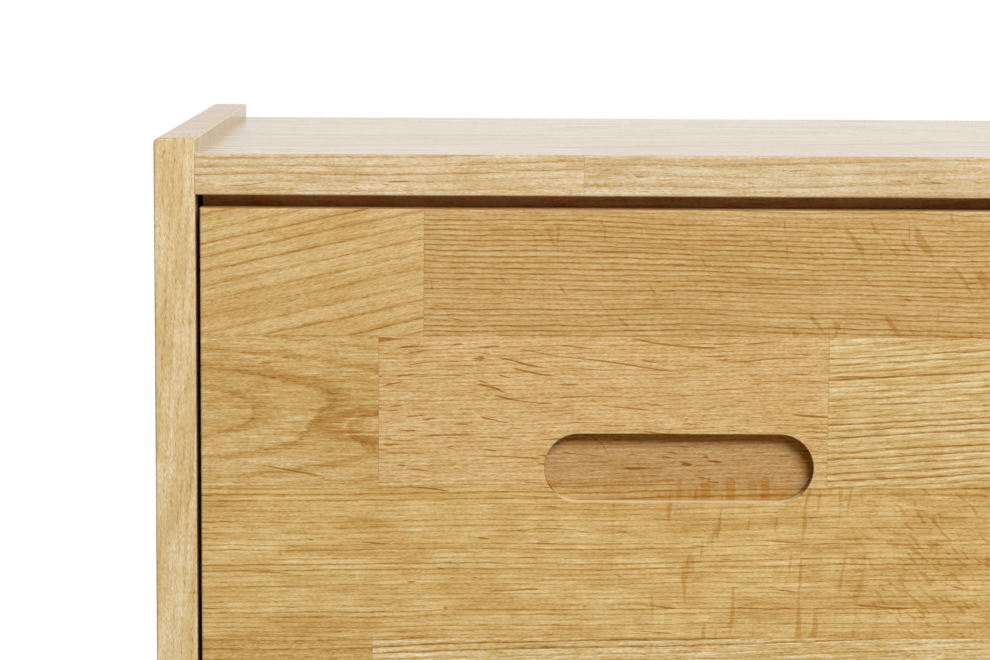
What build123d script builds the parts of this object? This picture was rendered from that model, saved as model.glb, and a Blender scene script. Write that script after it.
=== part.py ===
from build123d import *
import os

# A low chest in solid oak with one tall drawer, in millimetres.
# The origin is under the middle of the chest, on the plane of its foot pads.
# X runs across the front, Y from the front to the back, and Z upwards.

# Carcass
CHEST_WIDTH = 485.0
CHEST_DEPTH = 340.0
SIDE_HEIGHT = 301.0
SIDE_THICKNESS = 19.0
TOP_THICKNESS = 19.0
BOTTOM_THICKNESS = 19.0
BACK_THICKNESS = 6.0
SIDE_ABOVE_TOP = 7.0
SIDE_BELOW_BOTTOM = 7.0
OUTER_ROUND = 2.5
BOARD_ROUND = 1.0
BACK_CLEARANCE = 0.2
BACK_INSET = 1.5

# Foot pads under the ends of both sides
PAD_DIAMETER = 14.0
PAD_THICKNESS = 3.0
PAD_FROM_END = 22.0
PAD_ROUND = 0.6

# Drawer front and its finger recess
FRONT_THICKNESS = 19.0
FRONT_SIDE_GAP = 2.0
FRONT_TOP_GAP = 6.0
FRONT_BOTTOM_GAP = 3.0
RECESS_LENGTH = 125.0
RECESS_HEIGHT = 32.0
RECESS_DEPTH = 9.0
RECESS_RIM_ROUND = 0.5
RECESS_FLOOR_ROUND = 0.3

# Stop rail under the top, which the drawer front closes against and which closes the gap above it
RAIL_DEPTH = 19.0
RAIL_HEIGHT = 14.0
RAIL_BEHIND_FRONT = 1.0

# Drawer box behind the front
BOX_WALL = 12.0
BOX_UNDER_RAIL = 4.0
BOX_ABOVE_BOTTOM = 12.0
BOX_BEHIND = 13.0
BOX_FLOOR_THICKNESS = 6.0
BOX_FLOOR_RAISE = 10.0
GROOVE_DEPTH = 5.0
FINGER_COUNT = 11
BOX_ROUND = 1.0

# Ball-bearing runners, one pair in the space beside the box
RUNNER_SPACE = 12.7
RUNNER_HEIGHT = 45.0
RUNNER_SHEET = 1.2
RUNNER_ABOVE_BOX_FOOT = 65.0
RUNNER_SETBACK = 2.0
OUTER_FLANGE_CLEARANCE = 3.1
MIDDLE_FLANGE_CLEARANCE = 1.7
RUNNING_GAP = 0.3
BALL_DIAMETER = 3.0
BALLS_PER_ROW = 6
CAGE_SHEET = 0.6
CAGE_GAP = 0.6
CAGE_LENGTH = 130.0
CAGE_HOLE_CLEARANCE = 0.15
CAGE_PAST_BALL = 1.0

# Dowels between the sides and the top and bottom
DOWEL_DIAMETER = 8.0
DOWEL_LENGTH = 32.0
DOWEL_IN_SIDE = 11.0
DOWEL_PLAY = 0.05
DOWEL_END_ROOM = 0.8
DOWEL_CHAMFER = 0.8
DOWELS_PER_JOINT = 4
DOWEL_FROM_END = 40.0

# Countersunk wood screws; the head and its drive follow the shank
CABINET_SCREW_SHANK = 3.2
WOOD_PAST_CABINET_SCREW = 5.2
DRAWER_SCREW_SHANK = 3.2
WOOD_PAST_DRAWER_SCREW = 3.2
BACK_SCREW_SHANK = 3.5
BACK_SCREW_LENGTH = 25.0
RAIL_SCREW_SHANK = 3.5
WOOD_PAST_RAIL_SCREW = 7.0
FRONT_SCREW_SHANK = 4.0
WOOD_PAST_FRONT_SCREW = 5.0
HEAD_PER_SHANK = 2.0
HEAD_HEIGHT_PER_SHANK = 0.55
DRIVE_WIDTH_PER_SHANK = 0.28
DRIVE_ARM_PER_HEAD = 0.55
SCREW_PLAY = 0.05
SCREW_POINT = 0.3
RUNNER_SCREW_COUNT = 3
RUNNER_SCREW_FROM_END = 35.0
BACK_SCREW_COUNT = 4
BACK_SCREW_FROM_END = 45.0
RAIL_SCREW_COUNT = 4
RAIL_SCREW_FROM_END = 45.0
FRONT_SCREW_FROM_EDGE = 70.0
FRONT_SCREW_FROM_RIM = 40.0

# Planes and faces that the pieces share
OUTER_X = CHEST_WIDTH / 2
INNER_X = OUTER_X - SIDE_THICKNESS
FRONT_Y = -CHEST_DEPTH / 2
BACK_Y = CHEST_DEPTH / 2
PANEL_BACK_Y = BACK_Y - BACK_THICKNESS
SIDE_FOOT_Z = PAD_THICKNESS
SIDE_TOP_Z = SIDE_FOOT_Z + SIDE_HEIGHT
BOTTOM_Z = SIDE_FOOT_Z + SIDE_BELOW_BOTTOM
BOTTOM_TOP_Z = BOTTOM_Z + BOTTOM_THICKNESS
TOP_TOP_Z = SIDE_TOP_Z - SIDE_ABOVE_TOP
TOP_Z = TOP_TOP_Z - TOP_THICKNESS
FRONT_X = INNER_X - FRONT_SIDE_GAP
FRONT_BACK_Y = FRONT_Y + FRONT_THICKNESS
FRONT_Z = BOTTOM_TOP_Z + FRONT_BOTTOM_GAP
FRONT_TOP_Z = TOP_Z - FRONT_TOP_GAP
RAIL_Y = FRONT_BACK_Y + RAIL_BEHIND_FRONT
RAIL_Z = TOP_Z - RAIL_HEIGHT
BOX_X = INNER_X - RUNNER_SPACE
BOX_BACK_Y = PANEL_BACK_Y - BOX_BEHIND
BOX_Z = BOTTOM_TOP_Z + BOX_ABOVE_BOTTOM
BOX_TOP_Z = RAIL_Z - BOX_UNDER_RAIL
RUNNER_Y = FRONT_BACK_Y + RUNNER_SETBACK
RUNNER_Z = BOX_Z + RUNNER_ABOVE_BOX_FOOT
RUNNER_MIDDLE_Y = (RUNNER_Y + BOX_BACK_Y) / 2
BOTTOM_MIDDLE_Z = (BOTTOM_Z + BOTTOM_TOP_Z) / 2
TOP_MIDDLE_Z = (TOP_Z + TOP_TOP_Z) / 2

# Runner section, as distances from the side's inner face and half heights
OUTER_HALF = RUNNER_HEIGHT / 2
OUTER_BALL_Z = OUTER_HALF - RUNNER_SHEET - RUNNING_GAP - BALL_DIAMETER / 2
MIDDLE_HALF = OUTER_BALL_Z - BALL_DIAMETER / 2 - RUNNING_GAP
INNER_BALL_Z = MIDDLE_HALF - RUNNER_SHEET - RUNNING_GAP - BALL_DIAMETER / 2
DRAWER_HALF = INNER_BALL_Z - BALL_DIAMETER / 2 - RUNNING_GAP
OUTER_CAGE_REACH = RUNNER_SHEET + CAGE_GAP
MIDDLE_WEB = OUTER_CAGE_REACH + CAGE_SHEET + CAGE_GAP
INNER_CAGE_REACH = MIDDLE_WEB + RUNNER_SHEET + CAGE_GAP
DRAWER_FLANGE = INNER_CAGE_REACH + CAGE_SHEET + CAGE_GAP
OUTER_FLANGE = RUNNER_SPACE - OUTER_FLANGE_CLEARANCE
MIDDLE_FLANGE = RUNNER_SPACE - MIDDLE_FLANGE_CLEARANCE
OUTER_BALL_X = (MIDDLE_WEB + OUTER_FLANGE) / 2
INNER_BALL_X = (DRAWER_FLANGE + MIDDLE_FLANGE) / 2


def block(low, high):
    """A box between two opposite corners."""
    size = [b - a for a, b in zip(low, high)]
    centre = [(a + b) / 2 for a, b in zip(low, high)]
    return Pos(*centre) * Box(*size)


def spread(count, low, high):
    """Evenly spaced places from low to high."""
    if count == 1:
        return [(low + high) / 2]
    return [low + (high - low) * i / (count - 1) for i in range(count)]


def rod(centre, direction, radius, length):
    """A cylinder centred on a point, along a direction."""
    return Plane(origin=centre, z_dir=direction) * Cylinder(radius, length)


def other_hand(shape):
    """The same piece for the other side of the chest."""
    return mirror(shape, about=Plane.YZ)


def screw(seat, outward, shank_diameter, length, grow=0.0):
    """A countersunk wood screw whose head lies flush with the seat; grow makes its hole."""
    head_diameter = shank_diameter * HEAD_PER_SHANK
    neck = shank_diameter * HEAD_HEIGHT_PER_SHANK
    head = head_diameter / 2 + grow
    shank = shank_diameter / 2 + grow
    straight = length - neck - shank_diameter
    solid = Pos(0, 0, -neck / 2) * Cone(shank, head, neck)
    solid += Pos(0, 0, -neck - straight / 2) * Cylinder(shank, straight)
    tip = Cone(SCREW_POINT + grow, shank, shank_diameter)
    solid += Pos(0, 0, -neck - straight - shank_diameter / 2) * tip
    if not grow:
        slot = Box(head_diameter * DRIVE_ARM_PER_HEAD, shank_diameter * DRIVE_WIDTH_PER_SHANK, neck)
        solid -= slot + Rot(0, 0, 90) * slot
    return Plane(origin=seat, z_dir=outward) * solid


def screws(places):
    """One separate screw for each place."""
    return Compound(children=[screw(*place) for place in places])


def drill(piece, places):
    """Cuts the hole of each screw out of a piece."""
    for place in places:
        piece -= screw(*place, grow=SCREW_PLAY)
    return piece


def dowel_places():
    """The middle of each carcass dowel."""
    centre_x = INNER_X + DOWEL_IN_SIDE - DOWEL_LENGTH / 2
    heights = (BOTTOM_MIDDLE_Z, TOP_MIDDLE_Z)
    rows = spread(DOWELS_PER_JOINT, FRONT_Y + DOWEL_FROM_END, PANEL_BACK_Y - DOWEL_FROM_END)
    return [(side * centre_x, y, z) for side in (-1, 1) for z in heights for y in rows]


def dowel_holes(piece):
    """Cuts the dowels' blind holes out of a board."""
    for place in dowel_places():
        length = DOWEL_LENGTH + 2 * DOWEL_END_ROOM
        piece -= rod(place, (1, 0, 0), DOWEL_DIAMETER / 2 + DOWEL_PLAY, length)
    return piece


def carcass_dowels():
    pins = []
    for place in dowel_places():
        pin = Cylinder(DOWEL_DIAMETER / 2, DOWEL_LENGTH)
        pin = chamfer(pin.edges().filter_by(GeomType.CIRCLE), DOWEL_CHAMFER)
        pins.append(Plane(origin=place, z_dir=(1, 0, 0)) * pin)
    return Compound(children=pins)


def runner_screw_rows():
    return spread(
        RUNNER_SCREW_COUNT,
        RUNNER_Y + RUNNER_SCREW_FROM_END,
        BOX_BACK_Y - RUNNER_SCREW_FROM_END,
    )


def cabinet_runner_screws():
    """Screws through the cabinet members, with the heads towards the drawer."""
    seat_x = INNER_X - RUNNER_SHEET
    length = RUNNER_SHEET + SIDE_THICKNESS - WOOD_PAST_CABINET_SCREW
    return [
        ((side * seat_x, y, RUNNER_Z), (-side, 0, 0), CABINET_SCREW_SHANK, length)
        for side in (-1, 1)
        for y in runner_screw_rows()
    ]


def drawer_runner_screws():
    """Screws through the drawer members, with the heads towards the chest's side."""
    seat_x = BOX_X + RUNNER_SHEET
    length = RUNNER_SHEET + BOX_WALL - WOOD_PAST_DRAWER_SCREW
    return [
        ((side * seat_x, y, RUNNER_Z), (side, 0, 0), DRAWER_SCREW_SHANK, length)
        for side in (-1, 1)
        for y in runner_screw_rows()
    ]


def back_screws():
    """Screws through the back panel into the middle of the top and bottom boards."""
    columns = spread(BACK_SCREW_COUNT, -INNER_X + BACK_SCREW_FROM_END, INNER_X - BACK_SCREW_FROM_END)
    return [
        ((x, BACK_Y, z), (0, 1, 0), BACK_SCREW_SHANK, BACK_SCREW_LENGTH)
        for z in (BOTTOM_MIDDLE_Z, TOP_MIDDLE_Z)
        for x in columns
    ]


def rail_screws():
    """Screws from below through the stop rail into the top."""
    columns = spread(RAIL_SCREW_COUNT, -FRONT_X + RAIL_SCREW_FROM_END, FRONT_X - RAIL_SCREW_FROM_END)
    seat_y = RAIL_Y + RAIL_DEPTH / 2
    length = RAIL_HEIGHT + TOP_THICKNESS - WOOD_PAST_RAIL_SCREW
    return [((x, seat_y, RAIL_Z), (0, 0, -1), RAIL_SCREW_SHANK, length) for x in columns]


def front_screws():
    """Screws from inside the box front into the drawer front, outside the finger recess."""
    seat_y = FRONT_BACK_Y + BOX_WALL
    columns = (-BOX_X + FRONT_SCREW_FROM_EDGE, BOX_X - FRONT_SCREW_FROM_EDGE)
    heights = (BOX_Z + FRONT_SCREW_FROM_RIM, BOX_TOP_Z - FRONT_SCREW_FROM_RIM)
    length = BOX_WALL + FRONT_THICKNESS - WOOD_PAST_FRONT_SCREW
    return [((x, seat_y, z), (0, 1, 0), FRONT_SCREW_SHANK, length) for z in heights for x in columns]


def left_side():
    board = block((-OUTER_X, FRONT_Y, SIDE_FOOT_Z), (-INNER_X, BACK_Y, SIDE_TOP_Z))
    lengthwise = board.edges().filter_by(Axis.Y).group_by(Axis.X)
    board = fillet(lengthwise[0], OUTER_ROUND)
    ends = board.faces().sort_by(Axis.Y)
    inner = board.edges().filter_by(Axis.Y).group_by(Axis.X)[-1]
    board = fillet(ends[0].edges() + ends[-1].edges() + inner, BOARD_ROUND)
    return drill(dowel_holes(board), cabinet_runner_screws())


def cross_board(low_z, high_z):
    """The top or the bottom board, between the sides and in front of the back panel."""
    board = block((-INNER_X, FRONT_Y, low_z), (INNER_X, PANEL_BACK_Y, high_z))
    front_edges = board.faces().sort_by(Axis.Y)[0].edges().filter_by(Axis.X)
    board = fillet(front_edges, BOARD_ROUND)
    return drill(dowel_holes(board), back_screws())


def stop_rail():
    rail = block((-FRONT_X, RAIL_Y, RAIL_Z), (FRONT_X, RAIL_Y + RAIL_DEPTH, TOP_Z))
    lower_edges = rail.faces().sort_by(Axis.Z)[0].edges().filter_by(Axis.X)
    return drill(fillet(lower_edges, BOARD_ROUND), rail_screws())


def back_panel():
    reach = INNER_X - BACK_CLEARANCE
    board = block((-reach, PANEL_BACK_Y, BOTTOM_Z + BACK_INSET), (reach, BACK_Y, TOP_TOP_Z - BACK_INSET))
    return drill(board, back_screws())


def foot_pads():
    pads = []
    for x in (-(OUTER_X + INNER_X) / 2, (OUTER_X + INNER_X) / 2):
        for y in (FRONT_Y + PAD_FROM_END, BACK_Y - PAD_FROM_END):
            pad = Cylinder(PAD_DIAMETER / 2, PAD_THICKNESS)
            pad = fillet(pad.edges().filter_by(GeomType.CIRCLE).sort_by(Axis.Z)[0], PAD_ROUND)
            pads.append(Pos(x, y, PAD_THICKNESS / 2) * pad)
    return Compound(children=pads)


def drawer_front():
    """The front board with its blind stadium-shaped finger recess."""
    board = block((-FRONT_X, FRONT_Y, FRONT_Z), (FRONT_X, FRONT_BACK_Y, FRONT_TOP_Z))
    board = fillet(board.faces().sort_by(Axis.Y)[0].edges(), BOARD_ROUND)
    face = Plane(origin=(0, FRONT_Y, (FRONT_Z + FRONT_TOP_Z) / 2), x_dir=(1, 0, 0), z_dir=(0, -1, 0))
    pocket = extrude(face * SlotOverall(RECESS_LENGTH, RECESS_HEIGHT), -RECESS_DEPTH)
    pocket = fillet(pocket.faces().sort_by(Axis.Y)[-1].edges(), RECESS_FLOOR_ROUND)
    board -= pocket
    mouth = board.faces().sort_by(Axis.Y)[0].inner_wires()[0]
    board = fillet(mouth.edges(), RECESS_RIM_ROUND)
    return drill(board, front_screws())


def box_floor_block():
    """The drawer's bottom sheet, which reaches into a groove in each wall."""
    x = BOX_X - BOX_WALL + GROOVE_DEPTH
    y = (FRONT_BACK_Y + BOX_WALL - GROOVE_DEPTH, BOX_BACK_Y - BOX_WALL + GROOVE_DEPTH)
    z = BOX_Z + BOX_FLOOR_RAISE
    return block((-x, y[0], z), (x, y[1], z + BOX_FLOOR_THICKNESS))


def finger_bands(first):
    """The heights of every second finger, from the first or the second one."""
    pitch = (BOX_TOP_Z - BOX_Z) / FINGER_COUNT
    return [(BOX_Z + i * pitch, BOX_Z + (i + 1) * pitch) for i in range(first, FINGER_COUNT, 2)]


def corner_blocks(first):
    """The parts of the four box corners that lie in the given bands."""
    inner_x = BOX_X - BOX_WALL
    ends = ((FRONT_BACK_Y, FRONT_BACK_Y + BOX_WALL), (BOX_BACK_Y - BOX_WALL, BOX_BACK_Y))
    blocks = []
    for low_z, high_z in finger_bands(first):
        for low_y, high_y in ends:
            for low_x, high_x in ((-BOX_X, -inner_x), (inner_x, BOX_X)):
                blocks.append(block((low_x, low_y, low_z), (high_x, high_y, high_z)))
    return blocks


def comb_joint(wall, first):
    """Takes the other wall's fingers out of a box wall, and the floor's groove."""
    for corner in corner_blocks(first):
        wall -= corner
    return wall - box_floor_block()


def soften_rim(wall, along):
    """Rounds the upper edges of a box wall that run along an axis."""
    rim = wall.faces().sort_by(Axis.Z)[-1].edges().filter_by(along)
    return fillet(rim, BOX_ROUND)


def box_left_side():
    wall = block((-BOX_X, FRONT_BACK_Y, BOX_Z), (-BOX_X + BOX_WALL, BOX_BACK_Y, BOX_TOP_Z))
    wall = soften_rim(comb_joint(wall, 1), Axis.Y)
    return drill(wall, drawer_runner_screws())


def box_end(low_y):
    """The box front or the box back."""
    wall = block((-BOX_X, low_y, BOX_Z), (BOX_X, low_y + BOX_WALL, BOX_TOP_Z))
    wall = soften_rim(comb_joint(wall, 0), Axis.X)
    return drill(wall, front_screws())


def channel(web, tip, half_height, sheet, low_y, high_y):
    """A bent C section along Y, on the left; web and tip are distances from the side board."""
    low_web, high_tip = min(web, tip), max(web, tip)
    outer = block(
        (-INNER_X + low_web, low_y, RUNNER_Z - half_height),
        (-INNER_X + high_tip, high_y, RUNNER_Z + half_height),
    )
    past = sheet if tip > web else -sheet
    inner = block(
        (-INNER_X + low_web + past, low_y, RUNNER_Z - half_height + sheet),
        (-INNER_X + high_tip + past, high_y, RUNNER_Z + half_height - sheet),
    )
    section = outer - inner
    bends = section.edges().filter_by(Axis.Y).group_by(Axis.X)[0 if tip > web else -1]
    return fillet(bends.group_by(Axis.Z)[0] + bends.group_by(Axis.Z)[-1], sheet)


def cabinet_runner():
    member = channel(0, OUTER_FLANGE, OUTER_HALF, RUNNER_SHEET, RUNNER_Y, BOX_BACK_Y)
    return drill(member, cabinet_runner_screws())


def middle_runner():
    return channel(MIDDLE_WEB, MIDDLE_FLANGE, MIDDLE_HALF, RUNNER_SHEET, RUNNER_Y, BOX_BACK_Y)


def drawer_runner():
    member = channel(RUNNER_SPACE, DRAWER_FLANGE, DRAWER_HALF, RUNNER_SHEET, RUNNER_Y, BOX_BACK_Y)
    return drill(member, drawer_runner_screws())


def ball_places(ball_x, ball_z):
    """The centres of one cage's balls, in an upper and a lower row."""
    reach = CAGE_LENGTH / 2 - BALL_DIAMETER
    rows = spread(BALLS_PER_ROW, RUNNER_MIDDLE_Y - reach, RUNNER_MIDDLE_Y + reach)
    return [(-INNER_X + ball_x, y, RUNNER_Z + z) for z in (-ball_z, ball_z) for y in rows]


def balls(ball_x, ball_z):
    places = ball_places(ball_x, ball_z)
    return Compound(children=[Pos(*place) * Sphere(BALL_DIAMETER / 2) for place in places])


def ball_cage(web, ball_x, ball_z):
    """The bent strip that spaces the balls between two members."""
    half_height = ball_z + CAGE_SHEET / 2
    tip = ball_x + BALL_DIAMETER / 2 + CAGE_PAST_BALL
    low_y = RUNNER_MIDDLE_Y - CAGE_LENGTH / 2
    cage = channel(web, tip, half_height, CAGE_SHEET, low_y, low_y + CAGE_LENGTH)
    for place in ball_places(ball_x, ball_z):
        cage -= rod(place, (0, 0, 1), BALL_DIAMETER / 2 + CAGE_HOLE_CLEARANCE, BALL_DIAMETER)
    return cage


def chest_nodes():
    """Every piece of the chest by its node's name."""
    side = left_side()
    wall = box_left_side()
    runners = {
        "cabinet_runner": cabinet_runner(),
        "middle_runner": middle_runner(),
        "drawer_runner": drawer_runner(),
        "outer_cage": ball_cage(OUTER_CAGE_REACH, OUTER_BALL_X, OUTER_BALL_Z),
        "outer_balls": balls(OUTER_BALL_X, OUTER_BALL_Z),
        "inner_cage": ball_cage(INNER_CAGE_REACH, INNER_BALL_X, INNER_BALL_Z),
        "inner_balls": balls(INNER_BALL_X, INNER_BALL_Z),
    }
    nodes = {
        "left_side": side,
        "right_side": other_hand(side),
        "top_panel": drill(cross_board(TOP_Z, TOP_TOP_Z), rail_screws()),
        "bottom_panel": cross_board(BOTTOM_Z, BOTTOM_TOP_Z),
        "stop_rail": stop_rail(),
        "back_panel": back_panel(),
        "carcass_dowels": carcass_dowels(),
        "back_screws": screws(back_screws()),
        "rail_screws": screws(rail_screws()),
        "foot_pads": foot_pads(),
        "cabinet_runner_screws": screws(cabinet_runner_screws()),
        "drawer_front": drawer_front(),
        "box_front": box_end(FRONT_BACK_Y),
        "box_back": box_end(BOX_BACK_Y - BOX_WALL),
        "box_left_side": wall,
        "box_right_side": other_hand(wall),
        "box_floor": box_floor_block(),
        "front_screws": screws(front_screws()),
        "drawer_runner_screws": screws(drawer_runner_screws()),
    }
    for name, piece in runners.items():
        nodes["left_" + name] = piece
        nodes["right_" + name] = other_hand(piece)
    return nodes


os.makedirs("parts", exist_ok=True)
for name, piece in chest_nodes().items():
    export_step(piece, f"parts/{name}.step")
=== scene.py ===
import math
from collections import namedtuple
from functools import partialmethod

import bmesh
import bpy
from bpy.props import FloatProperty, FloatVectorProperty, PointerProperty
from mathutils import Matrix, Vector


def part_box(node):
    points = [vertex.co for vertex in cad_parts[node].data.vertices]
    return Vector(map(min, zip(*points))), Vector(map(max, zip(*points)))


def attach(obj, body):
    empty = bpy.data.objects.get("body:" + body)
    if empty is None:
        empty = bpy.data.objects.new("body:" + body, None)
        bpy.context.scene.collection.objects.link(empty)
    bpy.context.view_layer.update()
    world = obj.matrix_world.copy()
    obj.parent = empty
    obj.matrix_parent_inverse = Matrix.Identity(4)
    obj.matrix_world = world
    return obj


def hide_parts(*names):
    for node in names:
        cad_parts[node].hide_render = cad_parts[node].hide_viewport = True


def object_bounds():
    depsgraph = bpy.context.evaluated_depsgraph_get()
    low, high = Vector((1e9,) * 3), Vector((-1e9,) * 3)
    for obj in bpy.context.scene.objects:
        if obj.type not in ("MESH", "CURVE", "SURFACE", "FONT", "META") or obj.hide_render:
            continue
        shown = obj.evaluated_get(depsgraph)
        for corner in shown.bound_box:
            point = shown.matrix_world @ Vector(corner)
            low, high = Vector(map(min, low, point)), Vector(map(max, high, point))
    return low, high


bl_info = {
    "name": "Oak chest finishes",
    "version": (1, 0, 0),
    "blender": (4, 5, 0),
    "location": "View3D > Sidebar > Oak chest",
    "description": "Dresses a small oak chest with one drawer and sets up its studio",
    "category": "Object",
}

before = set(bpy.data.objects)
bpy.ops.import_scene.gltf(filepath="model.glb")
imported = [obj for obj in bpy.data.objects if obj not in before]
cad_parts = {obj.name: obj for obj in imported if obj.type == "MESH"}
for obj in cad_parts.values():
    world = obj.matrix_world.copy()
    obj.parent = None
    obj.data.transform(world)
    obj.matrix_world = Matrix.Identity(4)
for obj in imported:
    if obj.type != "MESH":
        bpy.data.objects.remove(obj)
CAD_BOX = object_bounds()

PICTURE_WIDTH = 990
SENSOR_WIDTH = 36.0
PER_METRE = 1000.0

# Axes of the frame, as places in a vector
ACROSS_CHEST, INTO_CHEST, UP = 0, 1, 2


# Settings that a user would change

def length_setting(name, description, default, low=0.0):
    """A length in metres."""
    return FloatProperty(
        name=name, description=description, default=default, min=low, unit="LENGTH", subtype="DISTANCE")


def share_setting(name, description, default):
    """A number from 0 to 1."""
    return FloatProperty(
        name=name, description=description, default=default, min=0.0, max=1.0, subtype="FACTOR")


def colour_setting(name, description, default):
    """A colour, or a tint that multiplies one."""
    return FloatVectorProperty(
        name=name, description=description, default=default, size=3, min=0.0, max=1.0, subtype="COLOR")


def angle_setting(name, description, degrees):
    """An angle, given in degrees."""
    return FloatProperty(
        name=name, description=description, default=math.radians(degrees), unit="ROTATION", subtype="ANGLE")


def power_setting(name, description, default):
    """The power of a lamp."""
    return FloatProperty(name=name, description=description, default=default, min=0.0, unit="POWER")


class OakSettings(bpy.types.PropertyGroup):
    """Finish of the solid oak."""

    stave_width: length_setting("Stave width", "Width of the glued staves", 0.0705, low=0.02)
    stave_length: length_setting("Stave length", "Usual length of the glued staves", 0.30, low=0.05)
    ring_depth: share_setting("Ring depth", "How much the early wood of a ring darkens the wood", 0.65)
    pore_depth: share_setting("Pore depth", "How much open pores and fine dashes darken the wood", 0.58)
    ray_depth: share_setting("Ray depth", "How much broad rays darken the wood", 0.27)
    patch_depth: share_setting("Patch depth", "How much golden patches darken the wood", 0.16)
    heart_depth: share_setting(
        "Heart depth", "How much the wood round an eye in the grain is darkened", 0.38)
    glue_tint: colour_setting("Glue tint", "How a glued joint tints the wood", (0.80, 0.68, 0.48))
    # Cut tint: the cut wood's own look on the recess floor, and painted shade that darkens the floor inside
    # the recess
    cut_and_shade_tint: colour_setting(
        "Cut and shade tint", "How the cutter's work tints the floor of the finger recess", (0.77, 0.71, 0.68))
    # Painted shadow: this tint paints the shadow of the recess's upper and right walls onto its floor
    painted_shadow_tint: colour_setting(
        "Painted shadow tint", "How the cutter's heat tints the recess near its upper and right walls",
        (1.0, 0.68, 0.25))
    roughness: share_setting("Roughness", "Roughness of the wood under its lacquer", 0.50)
    lacquer_roughness: share_setting("Lacquer roughness", "Roughness of the satin lacquer", 0.18)


class FittingSettings(bpy.types.PropertyGroup):
    """Finish of the runners, screws, dowels and foot pads."""

    zinc: colour_setting("Zinc", "Colour of the zinc-plated steel", (0.56, 0.57, 0.58))
    cage: colour_setting("Cage", "Colour of the ball cages", (0.40, 0.40, 0.40))
    ball: colour_setting("Ball", "Colour of the bearing balls", (0.64, 0.64, 0.65))
    screw: colour_setting("Screw", "Colour of the yellow-passivated screws", (0.62, 0.52, 0.32))
    beech: colour_setting("Beech", "Colour of the beech dowels", (0.62, 0.42, 0.25))
    birch: colour_setting("Birch", "Colour of the birch plywood", (0.72, 0.55, 0.34))
    felt: colour_setting("Felt", "Colour of the felt pads", (0.20, 0.17, 0.14))
    felt_bulge: length_setting("Felt bulge", "How far a pad's side swells under the weight", 0.0004)
    felt_round: length_setting("Felt round", "Radius of a pad's lower rim", 0.0006, low=0.0001)


class StageSettings(bpy.types.PropertyGroup):
    """Floor, light and camera."""

    floor_radius: length_setting("Floor radius", "Radius of the pale floor", 2.6, low=0.5)
    floor_shade: share_setting("Floor shade", "Share of light that the floor gives back", 0.35)
    floor_lift: share_setting("Floor lift", "Whiteness that the camera sees in the floor by itself", 0.94)
    surround: FloatProperty(
        name="Surround", description="Strength of the light from all round", default=0.08, min=0.0)
    key_power: power_setting("Key power", "Power of the lamp in front of the chest", 282.0)
    lamp_size: length_setting("Lamp size", "Width of the large soft lamps", 2.4, low=0.05)
    lamp_height: length_setting("Lamp height", "Height of the large soft lamps", 1.6, low=0.05)
    lamp_distance: length_setting("Lamp distance", "Distance of the large soft lamps", 5.0, low=0.5)
    key_azimuth: angle_setting(
        "Key azimuth", "Turn of the lamp in front to the right of the chest's front", 21.0)
    key_elevation: angle_setting("Key elevation", "Height of the lamp in front above the horizon", 33.0)
    back_power: power_setting("Back power", "Power of the lamp behind the chest", 170.0)
    back_azimuth: angle_setting(
        "Back azimuth", "Turn of the lamp behind to the right of the chest's front", 220.0)
    back_elevation: angle_setting("Back elevation", "Height of the lamp behind above the horizon", 8.0)
    camera_distance: length_setting(
        "Camera distance", "Distance of the camera from the plane of the front", 1.444, low=0.1)
    camera_side: length_setting("Camera side", "Place of the camera across the chest", -0.0993, low=-10.0)
    camera_height: length_setting(
        "Camera height", "Height of the camera above the floor", 0.3866, low=-10.0)
    camera_pitch: angle_setting("Camera pitch", "Angle by which the camera looks down", 6.727)
    camera_yaw: angle_setting("Camera yaw", "Angle by which the camera looks to the right", 0.542)
    camera_roll: angle_setting("Camera roll", "Angle by which the camera leans to the left", 0.32)
    focal_pixels: FloatProperty(
        name="Focal length", description="Focal length in pixels of the picture", default=3153.8, min=1.0)


class ChestSettings(bpy.types.PropertyGroup):
    """All settings of the chest."""

    oak: PointerProperty(type=OakSettings)
    fittings: PointerProperty(type=FittingSettings)
    stage: PointerProperty(type=StageSettings)


# Node building

ROWS_PER_COLUMN = 6
COLUMN_GAP = 220
ROW_GAP = 190
FLOAT, COLOUR, VECTOR = "NodeSocketFloat", "NodeSocketColor", "NodeSocketVector"


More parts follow.
